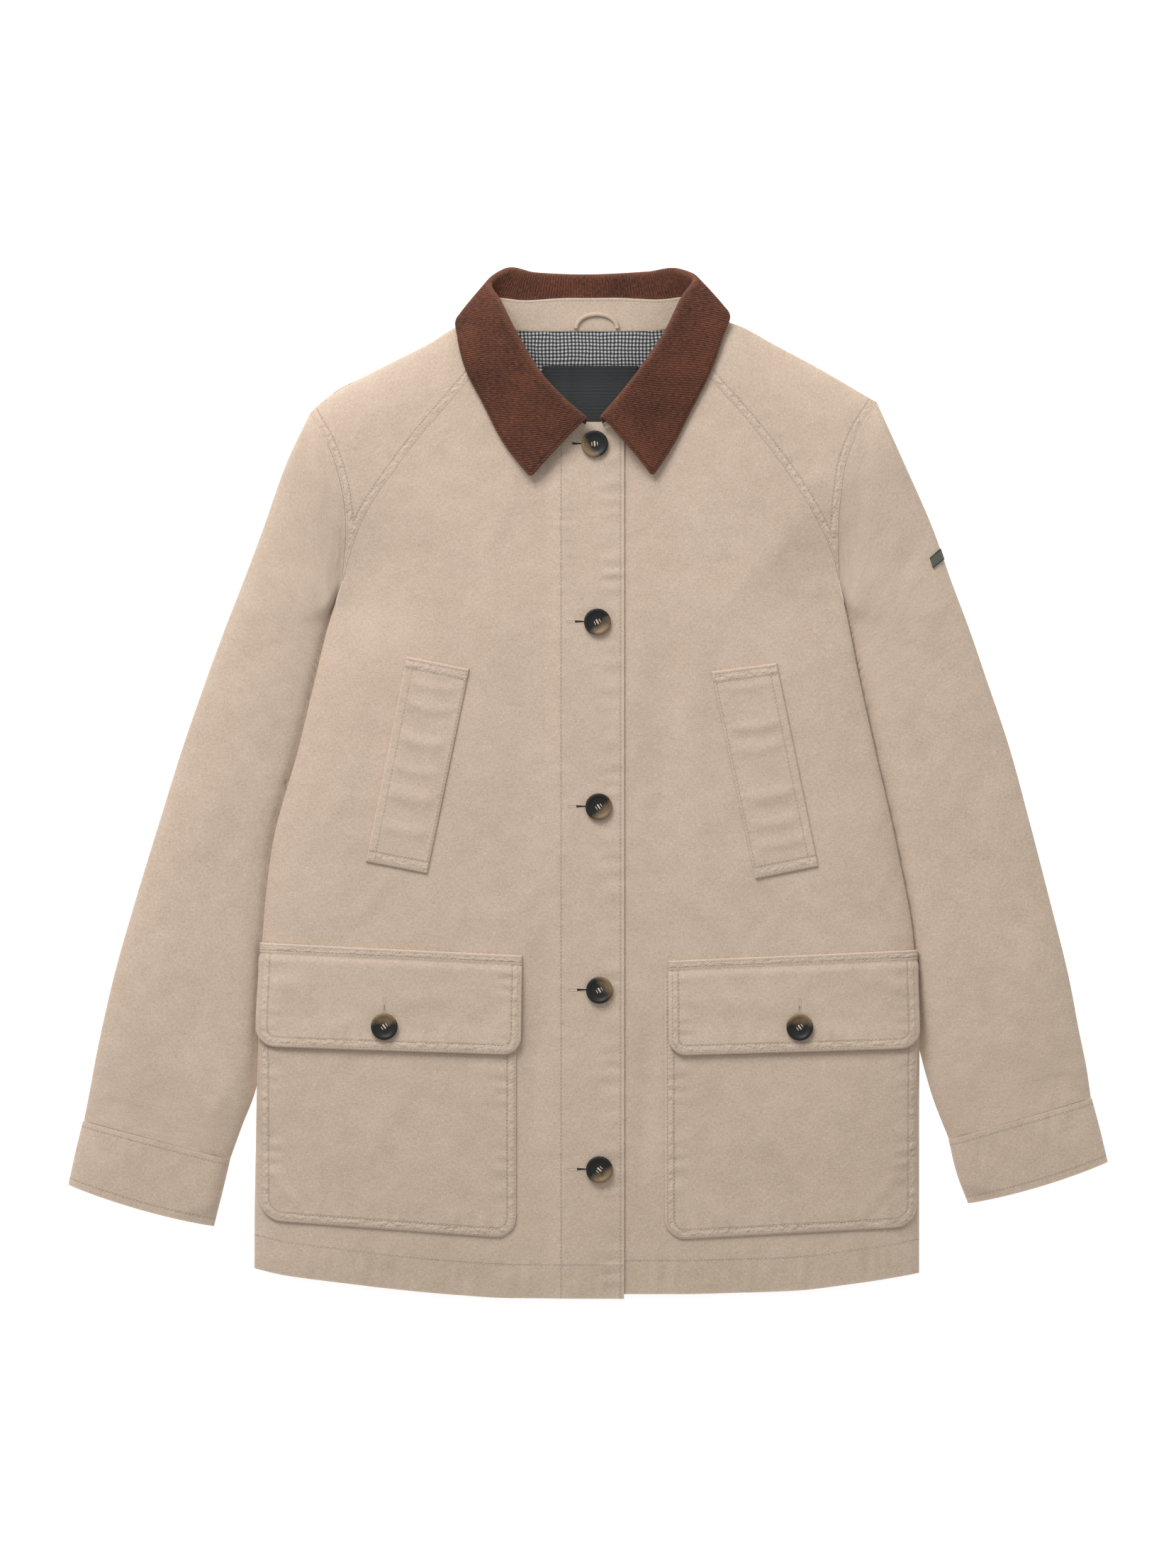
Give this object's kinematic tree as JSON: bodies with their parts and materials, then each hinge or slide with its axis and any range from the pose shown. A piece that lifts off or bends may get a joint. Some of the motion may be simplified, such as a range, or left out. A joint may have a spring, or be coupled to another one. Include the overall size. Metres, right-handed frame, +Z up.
{
  "type": "barn jacket",
  "caption": "Canvas barn jacket laid flat and buttoned, with a corduroy collar, patch pockets with flaps, slanted hand-warmer welts and split-raglan sleeves.",
  "frame": {"origin": "centre of the bounding box in plan, on the surface the jacket lies on", "axes": "+X to the wearer's left (picture right), +Y towards the collar, +Z up out of the jacket's front"},
  "size_m": [0.7784, 0.7715, 0.0315],
  "materials": {
    "canvas": "matte beige cotton canvas",
    "corduroy": "dark brown fine-wale corduroy",
    "check": "black and white mini-check cotton",
    "label_tape": "near-black woven tape, bare",
    "horn": "dark horn-like resin, satin gloss",
    "badge_plate": "dark grey-olive woven tape, bare"
  },
  "bodies": {
    "root": {"back": "canvas", "front_right": "canvas", "front_left": "canvas", "shoulder_right": "canvas", "shoulder_left": "canvas", "sleeve_right": "canvas", "sleeve_left": "canvas", "cuff_right": "canvas", "cuff_left": "canvas", "pocket_right": "canvas", "pocket_left": "canvas", "flap_right": "canvas", "flap_left": "canvas", "welt_right": "canvas", "welt_left": "canvas", "collar_stand": "canvas", "hanger_loop": "canvas", "collar": "corduroy", "lining_back": "check", "neck_label": "label_tape", "sleeve_badge": "badge_plate", "button_front_1": "horn", "button_front_2": "horn", "button_front_3": "horn", "button_front_4": "horn", "button_front_5": "horn", "button_flap_right": "horn", "button_flap_left": "horn"}
  },
  "joints": []
}
